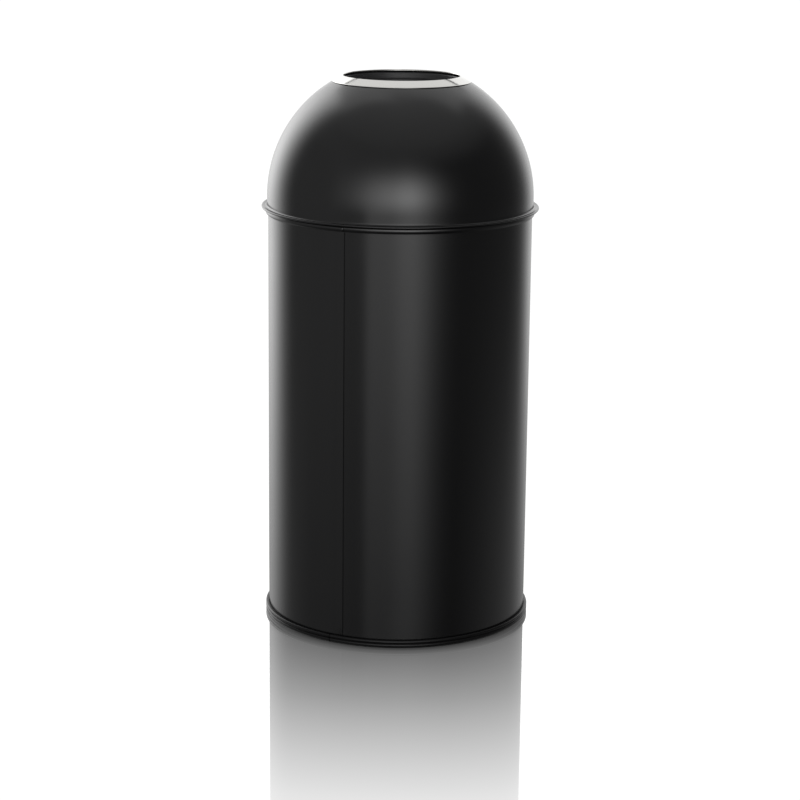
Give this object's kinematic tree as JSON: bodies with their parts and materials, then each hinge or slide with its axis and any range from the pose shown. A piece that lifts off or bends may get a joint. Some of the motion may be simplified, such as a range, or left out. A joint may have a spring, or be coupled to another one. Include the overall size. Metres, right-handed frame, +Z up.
{
  "type": "ashtray bin",
  "caption": "Round floor-standing ashtray bin: black steel body, lift-off dome lid with a polished ring mouth, a stub grid below it and a lift-out liner with a bail handle.",
  "frame": {"origin": "on the floor, on the bin's vertical axis, at the sole of the base ring", "axes": "+Z up along the bin's axis; -Y towards the front, where the side seam lies 23 degrees to the left of the front as seen from outside; +X to the right"},
  "size_m": [0.377, 0.377, 0.7504],
  "materials": {
    "black_powder_coat": "satin black powder coat on steel sheet",
    "polished_stainless": "polished stainless steel",
    "satin_stainless": "satin stainless steel",
    "galvanised_sheet": "galvanised steel sheet with spangle",
    "steel_wire": "zinc-plated drawn wire",
    "steel_rivet": "zinc-plated rivet",
    "black_plastic": "extruded and moulded black polyethylene"
  },
  "bodies": {
    "housing": {"body_shell": "black_powder_coat", "rim_wire": "steel_wire", "base_pan": "black_powder_coat", "base_ring": "black_plastic"},
    "liner": {"liner_wall": "galvanised_sheet", "liner_rim_wire": "steel_wire", "liner_base": "galvanised_sheet", "ear_left": "galvanised_sheet", "ear_right": "galvanised_sheet", "rivet_left_front": "steel_rivet", "rivet_left_rear": "steel_rivet", "rivet_right_front": "steel_rivet", "rivet_right_rear": "steel_rivet"},
    "bail": {"bail_wire": "steel_wire", "bail_grip": "black_plastic"},
    "lid": {"dome_shell": "black_powder_coat", "locating_band": "black_powder_coat", "trim_ring": "polished_stainless", "throat": "black_powder_coat"},
    "grid": {"stub_grid": "satin_stainless", "grid_pull": "satin_stainless", "pull_nut": "satin_stainless"}
  },
  "joints": [
    {"name": "liner_lift", "type": "slide", "parent": "housing", "child": "liner", "axis": [0, 0, 1], "range_m": [0, 0.57]},
    {"name": "bail_swing", "type": "hinge", "parent": "liner", "child": "bail", "pos_m": [0, 0, 0.5065], "axis": [-1, 0, 0], "range_deg": [0, 180]},
    {"name": "lid_lift", "type": "slide", "parent": "liner", "child": "lid", "axis": [0, 0, 1], "range_m": [0, 0.3]},
    {"name": "grid_lift", "type": "slide", "parent": "lid", "child": "grid", "axis": [0, 0, 1], "range_m": [0, 0.12]}
  ]
}
